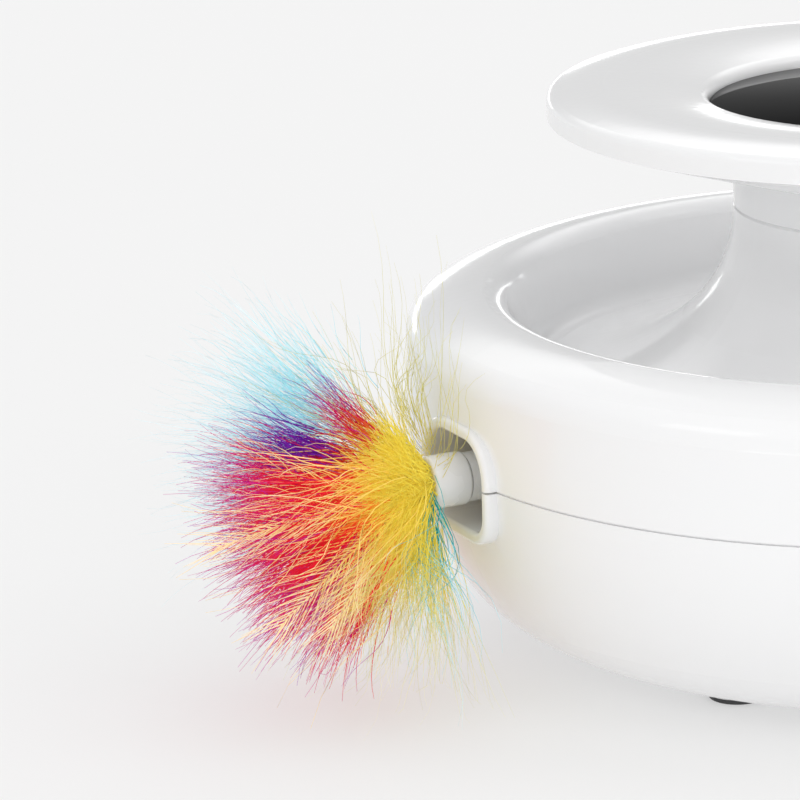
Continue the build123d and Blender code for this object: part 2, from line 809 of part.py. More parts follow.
# Toothed turntable with its hub, motor cup and seats for the drive axle and the guide screws
def turntable():
    plate = gear(turntable_teeth, sweep_motor_angle, turntable_bottom, turntable_top)
    hub = rod(hub_radius, hub_bottom, turntable_top)
    over = turntable_top + cut_overrun
    bush_hole = rod(post_radius + bush_wall + seat_gap, hub_bottom - cut_overrun, over)
    cup_bottom = turntable_bottom - motor_cup_depth
    cup = rod(motor_radius + motor_cup_wall, cup_bottom, turntable_bottom, *feather_motor_spot)
    cup_hole = rod(motor_radius + seat_gap, cup_bottom - cut_overrun, turntable_bottom, *feather_motor_spot)
    nose_hole = rod(motor_nose_radius + body_gap, turntable_bottom - cut_overrun, over, *feather_motor_spot)
    axle_hole = rod(drive_axle_radius + seat_gap, turntable_top - drive_axle_seat, over, *drive_gear_spot)
    spacer = rod(drive_spacer_radius, turntable_top, drive_wheel_bottom - running_gap, *drive_gear_spot)
    recess = rod(clip_radius + body_gap, clip_seat, over)
    body = plate + hub + cup + spacer - bush_hole - cup_hole - nose_hole - axle_hole - recess
    for x in guide_screw_stations():
        y = bar_width / 2 + guide_gap + guide_wall + guide_flange / 2
        depth = turntable_bottom + seat_gap
        body = body - rod(board_screw_radius + seat_gap, depth, over, x, y)
    return body


# Channel that carries the sliding bar, open beside the drive gear
def guide_screw_stations():
    return (-bar_tail + guide_flange / 2, guide_front - guide_flange / 2)


def plunger_guide():
    inner = bar_width / 2 + guide_gap
    outer = inner + guide_wall
    floor_top = bar_bottom - guide_gap
    clear_radius = drive_wheel_radius + addendum + body_gap
    short_front = drive_gear_station - clear_radius - body_gap
    far_wall = block(-bar_tail, guide_front, inner, outer, turntable_top, guide_top)
    near_wall = block(-bar_tail, short_front, -outer, -inner, turntable_top, guide_top)
    floor = block(-bar_tail, guide_front, -outer, outer, floor_top - guide_floor, floor_top)
    flange_top = turntable_top + guide_flange_height
    flange = block(-bar_tail, guide_front, outer, outer + guide_flange, turntable_top, flange_top)
    pinion_clear = rack_pinion_radius + addendum + body_gap
    clearance = rod(pinion_clear, turntable_top, guide_top, *drive_gear_spot)
    guide = far_wall + near_wall + floor + flange - clearance
    hole_radius = board_screw_radius + seat_gap
    for x in guide_screw_stations():
        guide = guide - rod(hole_radius, turntable_top - cut_overrun, guide_top, x, outer + guide_flange / 2)
    for x, y in cover_screw_places():
        guide = guide - rod(hole_radius, guide_top - board_screw_length, guide_top + cut_overrun, x, y)
    return guide


def cover_screw_places():
    wall_middle = bar_width / 2 + guide_gap + guide_wall / 2
    rear, front = guide_screw_stations()
    return [(rear, wall_middle), (front, wall_middle), (rear, -wall_middle)]


def guide_cover():
    outer = bar_width / 2 + guide_gap + guide_wall
    top = guide_top + cover_height
    cover = block(-bar_tail, guide_front, -outer, outer, guide_top, top)
    ear = rod(cover_ear_radius, guide_top, top, *drive_gear_spot)
    ear_back = drive_gear_station - cover_ear_radius
    ear_front = drive_gear_station + cover_ear_radius
    neck = block(ear_back, ear_front, drive_gear_side, 0, guide_top, top)
    below = guide_top - cut_overrun
    above = top + cut_overrun
    axle_hole = rod(drive_axle_radius + seat_gap, below, above, *drive_gear_spot)
    cover = cover + ear + neck - axle_hole
    for x, y in cover_screw_places():
        cover = cover - rod(board_screw_radius + seat_gap, below, above, x, y)
    return cover


def guide_screws():
    flange_seat = turntable_top + guide_flange_height
    flange_y = bar_width / 2 + guide_gap + guide_wall + guide_flange / 2
    cover_seat = guide_top + cover_height
    places = [(x, flange_y, flange_seat) for x in guide_screw_stations()]
    places = places + [(x, y, cover_seat) for x, y in cover_screw_places()]
    screws = [screw(board_screw_sizes, x, y, z, False) for x, y, z in places]
    return Compound(children=screws)


# Two step drive gear on a fixed steel axle
def drive_gear():
    wheel = gear(drive_wheel_teeth, motor_pinion_angle, drive_wheel_bottom, drive_wheel_top, *drive_gear_spot)
    pinion = gear(rack_pinion_teeth, 90, drive_wheel_top, bar_top - guide_gap, *drive_gear_spot)
    bore = rod(drive_axle_radius + running_gap, turntable_top, guide_top + cut_overrun, *drive_gear_spot)
    return wheel + pinion - bore


def drive_axle():
    top = guide_top + cover_height
    return rod(drive_axle_radius, turntable_top - drive_axle_seat, top, *drive_gear_spot)


# Small motor can with two flats, its nose upwards
def motor_can(x, y, bottom):
    top = bottom + motor_length
    flats = block(-motor_radius, motor_radius, -motor_flat, motor_flat, bottom, top)
    can = rod(motor_radius, bottom, top) & flats
    nose_top = top + motor_nose_height
    nose = rod(motor_nose_radius, top, nose_top)
    bore = rod(motor_shaft_radius + running_gap, top - motor_nose_height, nose_top + cut_overrun)
    return place(x, y) * (can + nose - bore)


def feather_motor():
    return motor_can(*feather_motor_spot, turntable_bottom - motor_length)


def feather_motor_shaft():
    bottom = turntable_bottom - motor_nose_height / 2
    return rod(motor_shaft_radius, bottom, drive_wheel_top + pinion_over, *feather_motor_spot)


def feather_motor_pinion():
    phase = motor_pinion_angle + 180 + 180 / motor_pinion_teeth
    bottom = drive_wheel_bottom - pinion_over
    top = drive_wheel_top + pinion_over
    pinion = gear(motor_pinion_teeth, phase, bottom, top, *feather_motor_spot)
    bore = motor_shaft_radius + seat_gap
    return pinion - rod(bore, bottom - cut_overrun, top + cut_overrun, *feather_motor_spot)


def sweep_motor():
    return motor_can(*sweep_motor_spot, hull_floor)


def sweep_motor_shaft():
    bottom = hull_floor + motor_length - motor_nose_height / 2
    return rod(motor_shaft_radius, bottom, turntable_top + pinion_over, *sweep_motor_spot)


def sweep_motor_pinion():
    phase = sweep_motor_angle + 180 + 180 / sweep_pinion_teeth
    bottom = turntable_bottom - pinion_over
    top = turntable_top + pinion_over
    pinion = gear(sweep_pinion_teeth, phase, bottom, top, *sweep_motor_spot)
    bore = motor_shaft_radius + seat_gap
    return pinion - rod(bore, bottom - cut_overrun, top + cut_overrun, *sweep_motor_spot)


# Sliding bar with a rack along its side, a gap of the rack facing the drive gear
def plunger_rack():
    front = sleeve_start
    pitch = pi * gear_module
    slope = tan(radians(pressure_angle))
    half_gap = pitch / 4 + tooth_backlash / 4
    tip_line = rack_pitch_line - addendum
    root_line = rack_pitch_line + dedendum
    half_mouth = half_gap + addendum * slope
    half_root = half_gap - dedendum * slope
    first = -int((drive_gear_station + bar_tail - rack_margin - half_mouth) / pitch)
    last = int((front - rack_margin - half_mouth - drive_gear_station) / pitch)
    points = [(-bar_tail, bar_width / 2), (-bar_tail, tip_line)]
    for index in range(first, last + 1):
        middle = drive_gear_station + index * pitch
        points.append((middle - half_mouth, tip_line))
        points.append((middle - half_root, root_line))
        points.append((middle + half_root, root_line))
        points.append((middle + half_mouth, tip_line))
    points.append((front, tip_line))
    points.append((front, bar_width / 2))
    face = make_face(Polyline(*points, close=True).edges())
    bar = place(0, 0, bar_bottom) * extrude(face, amount=bar_height)
    sleeve = Plane(origin=(front, 0, plunger_height), z_dir=(1, 0, 0)) * Circle(sleeve_radius)
    return bar + extrude(sleeve, amount=sleeve_length)


def plunger_tip():
    disc = Plane(origin=(tip_start, 0, plunger_height), z_dir=(1, 0, 0)) * Circle(tip_radius)
    tip = extrude(disc, amount=tip_length)
    return fillet(tip.edges().filter_by(GeomType.CIRCLE), tip_round)


# Feathers of the plume: leaf shaped vanes that spread from a bead on the plunger tip
def feather_vane(length):
    start = plume_bead_radius * vane_root_share
    widest = length * vane_widest_share
    outline = [
        Line((start, -vane_root_half_width), (start, vane_root_half_width)),
        Spline((start, vane_root_half_width), (widest, vane_half_width), (length, 0)),
        Spline((start, -vane_root_half_width), (widest, -vane_half_width), (length, 0)),
    ]
    return extrude(make_face(outline), amount=vane_thickness / 2, both=True)


def feather_plume():
    reach = plume_bead_radius
    plume = Sphere(plume_bead_radius) & block(0, reach, -reach, reach, -reach, reach)
    for lean, count, length_share in zip(vane_leans, vane_counts, vane_length_shares):
        vane = feather_vane(plume_length * length_share)
        for index in range(count):
            turn = 360 * index / count + lean
            plume = plume + Rot(turn, 0, 0) * Rot(0, lean, 0) * Rot(vane_roll, 0, 0) * vane
    return place(tip_end, 0, plunger_height) * plume


pieces = {
    "lower_shell": lower_shell,
    "upper_shell": upper_shell,
    "neck_sleeve": neck_sleeve,
    "top_disc": top_disc,
    "foot_pads": foot_pads,
    "battery_door": battery_door,
    "battery_door_screw": door_screw,
    "battery_cells": battery_cells,
    "battery_contacts": battery_contacts,
    "main_board": main_board,
    "board_screws": board_screws,
    "switch_board": switch_board,
    "cap_switch": cap_switch,
    "centre_cap": centre_cap,
    "cap_spring": cap_spring,
    "centre_post": centre_post,
    "thrust_washer": thrust_washer,
    "post_clip": post_clip,
    "turntable": turntable,
    "turntable_bush": turntable_bush,
    "plunger_guide": plunger_guide,
    "guide_cover": guide_cover,
    "guide_screws": guide_screws,
    "drive_axle": drive_axle,
    "drive_gear": drive_gear,
    "feather_motor": feather_motor,
    "feather_motor_shaft": feather_motor_shaft,
    "feather_motor_pinion": feather_motor_pinion,
    "sweep_motor": sweep_motor,
    "sweep_motor_shaft": sweep_motor_shaft,
    "sweep_motor_pinion": sweep_motor_pinion,
    "plunger_rack": plunger_rack,
    "plunger_tip": plunger_tip,
    "feather_plume": feather_plume,
}

os.makedirs("parts", exist_ok=True)
for name, make in pieces.items():
    export_step(make(), os.path.join("parts", name + ".step"))
    print("made", name)
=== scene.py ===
import bpy
import json
import math
import random
from mathutils import Matrix, Vector


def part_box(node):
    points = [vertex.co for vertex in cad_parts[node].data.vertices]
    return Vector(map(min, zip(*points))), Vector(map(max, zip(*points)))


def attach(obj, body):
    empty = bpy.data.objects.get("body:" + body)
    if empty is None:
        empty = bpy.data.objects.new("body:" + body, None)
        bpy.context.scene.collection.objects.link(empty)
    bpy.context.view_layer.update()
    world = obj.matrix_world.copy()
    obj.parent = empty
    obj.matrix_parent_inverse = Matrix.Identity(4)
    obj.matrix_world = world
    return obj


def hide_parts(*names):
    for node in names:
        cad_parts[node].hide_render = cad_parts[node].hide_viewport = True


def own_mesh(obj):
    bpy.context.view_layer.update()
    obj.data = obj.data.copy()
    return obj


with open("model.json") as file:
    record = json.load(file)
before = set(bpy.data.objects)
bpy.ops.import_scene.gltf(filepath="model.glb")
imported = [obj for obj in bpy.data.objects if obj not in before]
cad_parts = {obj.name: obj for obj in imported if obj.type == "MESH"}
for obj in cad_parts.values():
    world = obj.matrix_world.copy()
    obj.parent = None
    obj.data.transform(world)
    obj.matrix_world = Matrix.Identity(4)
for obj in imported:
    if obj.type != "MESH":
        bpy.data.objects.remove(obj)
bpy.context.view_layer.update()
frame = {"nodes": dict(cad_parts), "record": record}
nodes = frame["nodes"]
print("frame loaded:", len(nodes), "nodes")


# shader maths: wraps a socket, expressions on values add their Math nodes
class Wire:
    def __init__(self, tree, socket=None):
        self.tree = tree
        self.socket = socket

    def put(self, target, value):
        if isinstance(value, Wire):
            self.tree.links.new(value.socket, target)
        else:
            target.default_value = value

    def node(self, kind, settings=None, sockets=None, out=0):
        made = self.tree.nodes.new("ShaderNode" + kind)
        for name, value in (settings or {}).items():
            if name == "stops":
                fillRamp(made.color_ramp, value)
            else:
                setattr(made, name, value)
        for name, value in (sockets or {}).items():
            self.put(made.inputs[name], value)
        return Wire(self.tree, made.outputs[out])

    def maths(self, operation, first, second):
        return self.node("Math", {"operation": operation}, {0: first, 1: second})

    def __add__(self, other):
        return self.maths("ADD", self, other)

    def __radd__(self, other):
        return self.maths("ADD", other, self)

    def __sub__(self, other):
        return self.maths("SUBTRACT", self, other)

    def __rsub__(self, other):
        return self.maths("SUBTRACT", other, self)

    def __mul__(self, other):
        return self.maths("MULTIPLY", self, other)

    def __rmul__(self, other):
        return self.maths("MULTIPLY", other, self)

    # a Mix node's colours go in at 6 and 7 and come out at 2
    def blend(self, share, first, second, kind="MIX"):
        settings = {"data_type": "RGBA", "blend_type": kind}
        return self.node("Mix", settings, {0: share, 6: first, 7: second}, out=2)

    def mix(self, first, second):
        return self.blend(self, first, second)


def grey(level):
    return (level, level, level)


def opaque(colour):
    return (*colour, 1.0)


def fillRamp(ramp, stops):
    while len(ramp.elements) < len(stops):
        ramp.elements.new(1.0)
    for element, (place, colour) in zip(ramp.elements, stops):
        element.position = place
        element.color = opaque(colour)


def newFinish(name, **fixed):
    material = bpy.data.materials.new(name)
    material.use_nodes = True
    tree = material.node_tree
    shader = next(node for node in tree.nodes if node.type == "BSDF_PRINCIPLED")
    for socket, value in fixed.items():
        shader.inputs[socket.replace("_", " ")].default_value = value
    wire = Wire(tree)
    place = wire.node("TexCoord", out="Object")  # in metres
    return material, wire, place, shader


def noise(wire, place, scale, detail=2.0):
    return wire.node("TexNoise", {}, {"Vector": place, "Scale": scale, "Detail": detail})


# moulded plastic: faint cloud in the colour, uneven polish and a trace of orange peel
plasticSet = {"cloudScale": 9.0, "polishScale": 60.0, "polishDetail": 3.0, "peelDetail": 1.0}


def mouldedPlastic(name, chosen):
    material, wire, place, shader = newFinish(name, Specular_IOR_Level=chosen["specular"])
    cloud = noise(wire, place, plasticSet["cloudScale"])
    wire.put(shader.inputs["Base Color"], cloud.mix(opaque(chosen["colour"]), opaque(chosen["shade"])))
    polish = noise(wire, place, plasticSet["polishScale"], plasticSet["polishDetail"])
    wire.put(shader.inputs["Roughness"], polish * chosen["spread"] + chosen["least"])
    peel = chosen["peel"]
    grain = noise(wire, place, peel["scale"], plasticSet["peelDetail"])
    relief = {"Height": grain, "Strength": peel["strength"], "Distance": peel["depth"]}
    wire.put(shader.inputs["Normal"], wire.node("Bump", {}, relief))
    return material


# drawn or turned metal: fine lines in the colour and the polish
metalSet = {"stretch": (60.0, 60.0, 2400.0), "detail": 3.0, "spread": 0.2}


def drawnMetal(name, chosen):
    material, wire, place, shader = newFinish(name, Metallic=1.0)
    drawn = wire.node("Mapping", {}, {"Vector": place, "Scale": metalSet["stretch"]})
    lines = noise(wire, drawn, 1.0, metalSet["detail"])
    wire.put(shader.inputs["Base Color"], lines.mix(opaque(chosen["colour"]), opaque(chosen["shade"])))
    wire.put(shader.inputs["Roughness"], lines * metalSet["spread"] + chosen["least"])
    return material


# least and spread are the lowest roughness and how far it rises
finePeel = {"scale": 420.0, "strength": 0.04, "depth": 0.0004}
shellSet = {"colour": (0.885, 0.886, 0.89), "shade": (0.868, 0.869, 0.875), "least": 0.07, "spread": 0.05,
            "specular": 0.28, "peel": finePeel}
capSet = {"colour": (0.0015, 0.0015, 0.0018), "shade": (0.003, 0.003, 0.0034), "least": 0.03, "spread": 0.03,
          "specular": 0.12, "peel": {"scale": 200.0, "strength": 0.02, "depth": 0.0002}}
stubSet = {"colour": (0.84, 0.84, 0.85), "shade": (0.8, 0.8, 0.81), "least": 0.22, "spread": 0.1,
           "specular": 0.5, "peel": finePeel}
frameSet = {"colour": (0.7, 0.7, 0.69), "shade": (0.64, 0.64, 0.64), "least": 0.36, "spread": 0.16,
            "specular": 0.5, "peel": finePeel}
rubberSet = {"colour": (0.035, 0.035, 0.037), "shade": (0.06, 0.06, 0.062), "least": 0.6, "spread": 0.25,
             "specular": 0.5, "peel": {"scale": 1500.0, "strength": 0.35, "depth": 0.0003}}
gearSet = {**frameSet, "colour": (0.68, 0.66, 0.58), "shade": (0.6, 0.58, 0.5)}
boardSet = {**frameSet, "colour": (0.03, 0.17, 0.07), "shade": (0.05, 0.22, 0.1)}
cellSet = {**stubSet, "colour": (0.1, 0.13, 0.18), "shade": (0.13, 0.16, 0.22)}
switchSet = {**rubberSet, "colour": (0.1, 0.1, 0.11), "peel": finePeel}
steelSet = {"colour": (0.62, 0.62, 0.63), "shade": (0.5, 0.5, 0.52), "least": 0.22}
springSteelSet = {"colour": (0.55, 0.55, 0.57), "shade": (0.42, 0.42, 0.45), "least": 0.18}
nickelSet = {"colour": (0.72, 0.7, 0.64), "shade": (0.6, 0.58, 0.53), "least": 0.2}
bronzeSet = {"colour": (0.58, 0.42, 0.22), "shade": (0.46, 0.32, 0.16), "least": 0.24}
motorCanSet = {"colour": (0.66, 0.66, 0.67), "shade": (0.56, 0.56, 0.58), "least": 0.26}
finishes = {
    "shell_white": mouldedPlastic("shellWhite", shellSet),
    "disc_white": mouldedPlastic("discWhite", shellSet),
    "cap_black": mouldedPlastic("capBlack", capSet),
    "plunger_white": mouldedPlastic("plungerWhite", stubSet),
    "frame_white": mouldedPlastic("frameWhite", frameSet),
    "gear_natural": mouldedPlastic("gearNatural", gearSet),
    "foot_rubber": mouldedPlastic("footRubber", rubberSet),
    "switch_grey": mouldedPlastic("switchGrey", switchSet),
    "board_green": mouldedPlastic("boardGreen", boardSet),
    "cell_wrap": mouldedPlastic("cellWrap", cellSet),
    "steel": drawnMetal("plainSteel", steelSet),
    "spring_steel": drawnMetal("springSteel", springSteelSet),
    "contact_metal": drawnMetal("contactNickel", nickelSet),
    "bronze": drawnMetal("turnedBronze", bronzeSet),
    "motor_can": drawnMetal("motorCan", motorCanSet),
}
dressed = [part for part in frame["record"]["subparts"] if part["material_slot"] in finishes]
for part in dressed:
    slots = nodes[part["node"]].data.materials
    slots.clear()
    slots.append(finishes[part["material_slot"]])
print("finishes on", len(dressed), "nodes")


def newPiece(name, points, faces, finish):
    mesh = bpy.data.meshes.new(name)
    mesh.from_pydata(points, [], faces)
    mesh.materials.append(finish)
    piece = bpy.data.objects.new(name, mesh)
    bpy.context.collection.objects.link(piece)
    return piece


# faces of a closed tube whose rings of points follow one another from the first
def tubeFaces(first, rings, sides):
    faces = []
    for i in range(rings):
        for k in range(sides):
            a, b = first + sides * i + k, first + sides * i + (k + 1) % sides
            faces.append((a, b, b + sides, a + sides))
    end = first + sides * rings
    faces.append(tuple(range(first, first + sides))[::-1])
    faces.append(tuple(range(end, end + sides)))
    return faces


# coil spring under the cap
springSet = {"turns": 4, "steps": 36, "sides": 10, "wire": 0.0005, "capTravel": 0.0016}
springLow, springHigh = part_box("cap_spring")
springHeight = springHigh.z - springLow.z


def coilRing(turn, lift):
    gauge, sides = springSet["wire"], springSet["sides"]
    radius = (springHigh.y - springLow.y) / 2 - gauge
    angle = 2 * math.pi * turn
    outward = Vector((math.cos(angle), math.sin(angle), 0))
    ring = []
    for k in range(sides):
        tip = 2 * math.pi * k / sides
        reach = radius + gauge * math.cos(tip)
        ring.append(reach * outward + Vector((0, 0, springLow.z + gauge + lift + gauge * math.sin(tip))))
    return ring


coilRings = springSet["turns"] * springSet["steps"]
coilRise = springHeight - 2 * springSet["wire"]
coilPoints = []
for i in range(coilRings + 1):
    coilPoints.extend(coilRing(i / springSet["steps"], coilRise * i / coilRings))
coilFaces = tubeFaces(0, coilRings, springSet["sides"])
coil = newPiece("coilSpring", coilPoints, coilFaces, finishes["spring_steel"])
coil.data.shade_smooth()
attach(coil, "base")
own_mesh(coil)
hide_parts("cap_spring")
print("coil spring:", len(coilPoints), "points")


# camera and studio stand round the part, placed by the angle from the camera's own heading
cameraSet = {"heading": 148.6, "elevation": 15.716, "distance": 1.25, "turnLeft": 5.69, "tiltUp": 0.053,
             "lens": 222.27, "sensor": 36.0, "aimHeight": 0.054}


def stand(heading, elevation, distance):
    turn, rise = math.radians(cameraSet["heading"] + heading), math.radians(elevation)
    flat = distance * math.cos(rise)
    return Vector((flat * math.sin(turn), -flat * math.cos(turn), distance * math.sin(rise)))


# plume of dyed down feathers: every strand is a closed three sided hair
plumeSet = {
    "seed": 11,
    "steps": 9,
    "sides": 3,
    "tipShare": 0.25,  # thickness left at the end of a strand
    "thickness": (0.7, 1.25),
    "rootSpread": 0.0022,
    "clumpCurl": 0.2,
    "strandCurl": 0.12,
    "strandWave": 0.025,
    "waveTurn": 5.5,
    "floorGap": 0.0012,
    "wallGap": 0.0045,
    "keep": 0.1,  # height left once the plume is drawn in
}
yellow, gold, orange = (0.96, 0.79, 0.1), (1.0, 0.7, 0.17), (0.98, 0.26, 0.03)
red, magenta, violet = (0.86, 0.018, 0.045), (0.66, 0.03, 0.26), (0.2, 0.02, 0.52)
purple = (0.5, 0.02, 0.4)
cyan, paleCyan, teal = (0.38, 0.8, 0.9), (0.68, 0.91, 0.96), (0.01, 0.44, 0.46)
cream, olive, peach = (0.92, 0.88, 0.6), (0.76, 0.7, 0.2), (1.0, 0.78, 0.46)
# vaned feathers whose barbs cross in a herringbone over the red, lengths in metres
vanes = [
    {"fan": -44, "depth": 36, "length": 0.056, "barbs": 26, "barb": (0.012, 0.022), "opening": 34},
    {"fan": -14, "depth": 34, "length": 0.06, "barbs": 22, "barb": (0.012, 0.02), "opening": 28},
    {"fan": -58, "depth": 40, "length": 0.05, "barbs": 20, "barb": (0.01, 0.018), "opening": 30},
]
vaneSet = {
    "droop": 0.06,
    "shaftThick": 2,
    "shaftShade": 0.5,
    "firstBarb": 0.25,  # shares of the shaft
    "barbRun": 0.72,
    "openRoot": 1.2,  # barbs open wider and grow longer near the root
    "openFall": 0.7,
    "openAny": 4,
    "longRoot": 1.15,
    "longFall": 0.5,
    "forward": 0.2,
    "barbCurl": 0.05,
}
# fan is a strand's angle above the level across the plume, depth its lean towards the front, in degrees
# start and length are in millimetres along the strand, thick is a radius in metres, glow the strength of the
# painted glow
millimetre = 0.001
sprays = [
    {"name": "plumeCyan", "clumps": 28, "strands": 19, "fan": (5, 44), "depth": (-34, 10), "spread": 6.0,
     "start": (24, 42), "length": (18, 32), "thick": 0.00008, "droop": 0.02, "sway": 0.08, "glow": 0.3,
     "stops": [(0.0, olive), (0.25, cyan), (0.6, cyan), (0.85, paleCyan)]},
    {"name": "plumePale", "clumps": 14, "strands": 18, "fan": (-14, 14), "depth": (-20, 14), "spread": 4.0,
     "start": (32, 46), "length": (14, 26), "thick": 0.00007, "droop": 0.02, "sway": 0.06, "glow": 0.3,
     "stops": [(0.0, cyan), (0.6, cyan), (0.8, paleCyan), (1.0, paleCyan)]},
    {"name": "plumeViolet", "clumps": 9, "strands": 36, "fan": (5, 18), "depth": (8, 26), "spread": 3.6,
     "start": (17, 28), "length": (12, 24), "thick": 0.00014, "droop": 0.02, "sway": 0.06, "glow": 0.12,
     "stops": [(0.0, orange), (0.3, red), (0.38, violet), (0.6, violet), (0.8, magenta)]},
    {"name": "plumeTuft", "clumps": 7, "strands": 14, "fan": (28, 48), "depth": (26, 40), "spread": 3.2,
     "start": (16, 24), "length": (12, 21), "thick": 0.00014, "droop": 0.0, "sway": 0.05, "glow": 0.12,
     "stops": [(0.0, gold), (0.24, orange), (0.33, red), (0.43, magenta), (0.56, violet)]},
    {"name": "plumeRed", "clumps": 54, "strands": 38, "fan": (-60, 9), "depth": (-28, 36), "spread": 4.0,
     "start": (10, 30), "length": (20, 31), "thick": 0.00016, "droop": 0.04, "sway": 0.06, "glow": 0.27,
     "stops": [(0.0, yellow), (0.24, orange), (0.38, red), (0.58, red), (0.72, magenta), (0.95, purple)]},
    {"name": "plumeTips", "clumps": 28, "strands": 9, "fan": (-64, 8), "depth": (2, 38), "spread": 4.0,
     "start": (20, 34), "length": (16, 27), "thick": 0.00014, "droop": 0.02, "sway": 0.1, "glow": 0.22,
     "stops": [(0.0, red), (0.45, magenta), (0.7, purple), (0.95, violet)]},
    {"name": "plumeGold", "clumps": 20, "strands": 8, "fan": (-62, 16), "depth": (28, 46), "spread": 4.0,
     "start": (1, 12), "length": (30, 54), "thick": 0.00019, "droop": 0.05, "sway": 0.11, "glow": 0.3,
     "stops": [(0.0, yellow), (0.35, gold), (0.65, peach), (1.0, peach)], "vanes": vanes},
    {"name": "plumeYellow", "clumps": 54, "strands": 38, "fan": (-82, 66), "depth": (10, 62), "spread": 6.0,
     "start": (0, 5), "length": (10, 23), "thick": 0.00016, "droop": 0.03, "sway": 0.07, "glow": 0.22,
     "stops": [(0.0, yellow), (0.3, yellow), (0.42, gold), (0.6, olive)]},
    {"name": "plumeRear", "clumps": 26, "strands": 36, "fan": (-72, 46), "depth": (-44, 8), "spread": 6.0,
     "start": (0, 5), "length": (13, 25), "thick": 0.00016, "droop": 0.03, "sway": 0.07, "glow": 0.1,
     "stops": [(0.0, yellow), (0.3, yellow), (0.42, gold), (0.6, olive)]},
    {"name": "plumeStraw", "clumps": 36, "strands": 15, "fan": (-100, -50), "depth": (-24, 46), "spread": 5.0,
     "start": (4, 16), "length": (26, 43), "thick": 0.00009, "droop": 0.02, "sway": 0.11, "glow": 0.2,
     "stops": [(0.0, yellow), (0.3, yellow), (0.5, olive), (0.75, cream)]},
    {"name": "plumeWisps", "clumps": 16, "strands": 8, "fan": (30, 88), "depth": (-24, 40), "spread": 6.0,
     "start": (6, 16), "length": (20, 37), "thick": 0.00008, "droop": 0.0, "sway": 0.12, "glow": 0.1,
     "stops": [(0.0, yellow), (0.25, olive), (0.6, olive), (1.0, cream)]},
    {"name": "plumeStrays", "clumps": 4, "strands": 3, "fan": (98, 120), "depth": (12, 32), "spread": 5.0,
     "start": (0, 1), "length": (34, 48), "thick": 0.00008, "droop": 0.0, "sway": 0.12, "glow": 0.1,
     "stops": [(0.0, yellow), (0.25, olive), (0.6, olive), (1.0, olive)]},
    {"name": "plumeTeal", "clumps": 8, "strands": 8, "fan": (-104, -80), "depth": (20, 50), "spread": 6.0,
     "start": (0, 8), "length": (28, 50), "thick": 0.00012, "droop": 0.08, "sway": 0.1, "glow": 0.2,
     "stops": [(0.0, teal), (0.2, teal), (0.42, cyan), (0.75, paleCyan)]},
]
tipLow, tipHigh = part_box("plunger_tip")
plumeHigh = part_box("feather_plume")[1]
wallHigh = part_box("upper_shell")[1]
plumeRoot = Vector((tipHigh.x, 0, (tipLow.z + tipHigh.z) / 2))
plumeReach = plumeHigh.x - plumeRoot.x
wallRadius = wallHigh.y
frontward = stand(0, cameraSet["elevation"], 1.0)
rightward = Vector((0, 0, 1)).cross(frontward).normalized()
topward = frontward.cross(rightward)


def headingOf(fan, depth):
    turn, lean = math.radians(fan), math.radians(depth)
    flat = math.sin(turn) * topward - math.cos(turn) * rightward
    return math.cos(lean) * flat + math.sin(lean) * frontward


def anyWay(draw, size):
    return size * Vector([draw.uniform(-1, 1) for i in range(3)])


# holds a point off the wall and above the floor
def keepClear(point):
    outward = math.hypot(point.x, point.y)
    least = wallRadius + plumeSet["wallGap"]
    if outward < least:
        point.x, point.y = point.x * least / outward, point.y * least / outward
    point.z = max(point.z, plumeSet["floorGap"])
    return point


def hairPath(start, heading, pull, length, wave=Vector()):
    steps = plumeSet["steps"]
    path = []
    for share in [i / steps for i in range(steps + 1)]:
        bend = pull * share ** 2 + wave * math.sin(plumeSet["waveTurn"] * share)
        path.append(keepClear(start + length * (heading * share + bend)))
    return path


def addHair(hairs, path, thick, shade):
    first, last = len(hairs["points"]), len(path) - 1
    sides = plumeSet["sides"]
    for i, centre in enumerate(path):
        ahead = (path[min(i + 1, last)] - path[max(i - 1, 0)]).normalized()
        side = ahead.orthogonal().normalized()
        other = ahead.cross(side)
        radius = thick * (1 - (1 - plumeSet["tipShare"]) * i / last)
        for k in range(sides):
            turn = 2 * math.pi * k / sides
            hairs["points"].append(centre + radius * (math.cos(turn) * side + math.sin(turn) * other))
            hairs["fromRoot"].append(min((centre - plumeRoot).length / plumeReach, 1.0))
            hairs["strandShade"].append(shade)
    hairs["faces"].extend(tubeFaces(first, last, sides))


def addClump(hairs, draw, spray):
    fan, depth = draw.uniform(*spray["fan"]), draw.uniform(*spray["depth"])
    curl = anyWay(draw, plumeSet["clumpCurl"]) - Vector((0, 0, spray["droop"]))
    sway = anyWay(draw, spray["sway"])
    for i in range(spray["strands"]):
        heading = headingOf(draw.gauss(fan, spray["spread"]), draw.gauss(depth, spray["spread"]))
        offset = Vector((0, draw.gauss(0, 1), draw.gauss(0, 1))) * plumeSet["rootSpread"]
        start = plumeRoot + offset + millimetre * draw.uniform(*spray["start"]) * heading
        length = millimetre * draw.uniform(*spray["length"])
        pull = curl + anyWay(draw, plumeSet["strandCurl"])
        wave = sway + anyWay(draw, plumeSet["strandWave"])
        thick = spray["thick"] * draw.uniform(*plumeSet["thickness"])
        addHair(hairs, hairPath(start, heading, pull, length, wave), thick, draw.random())


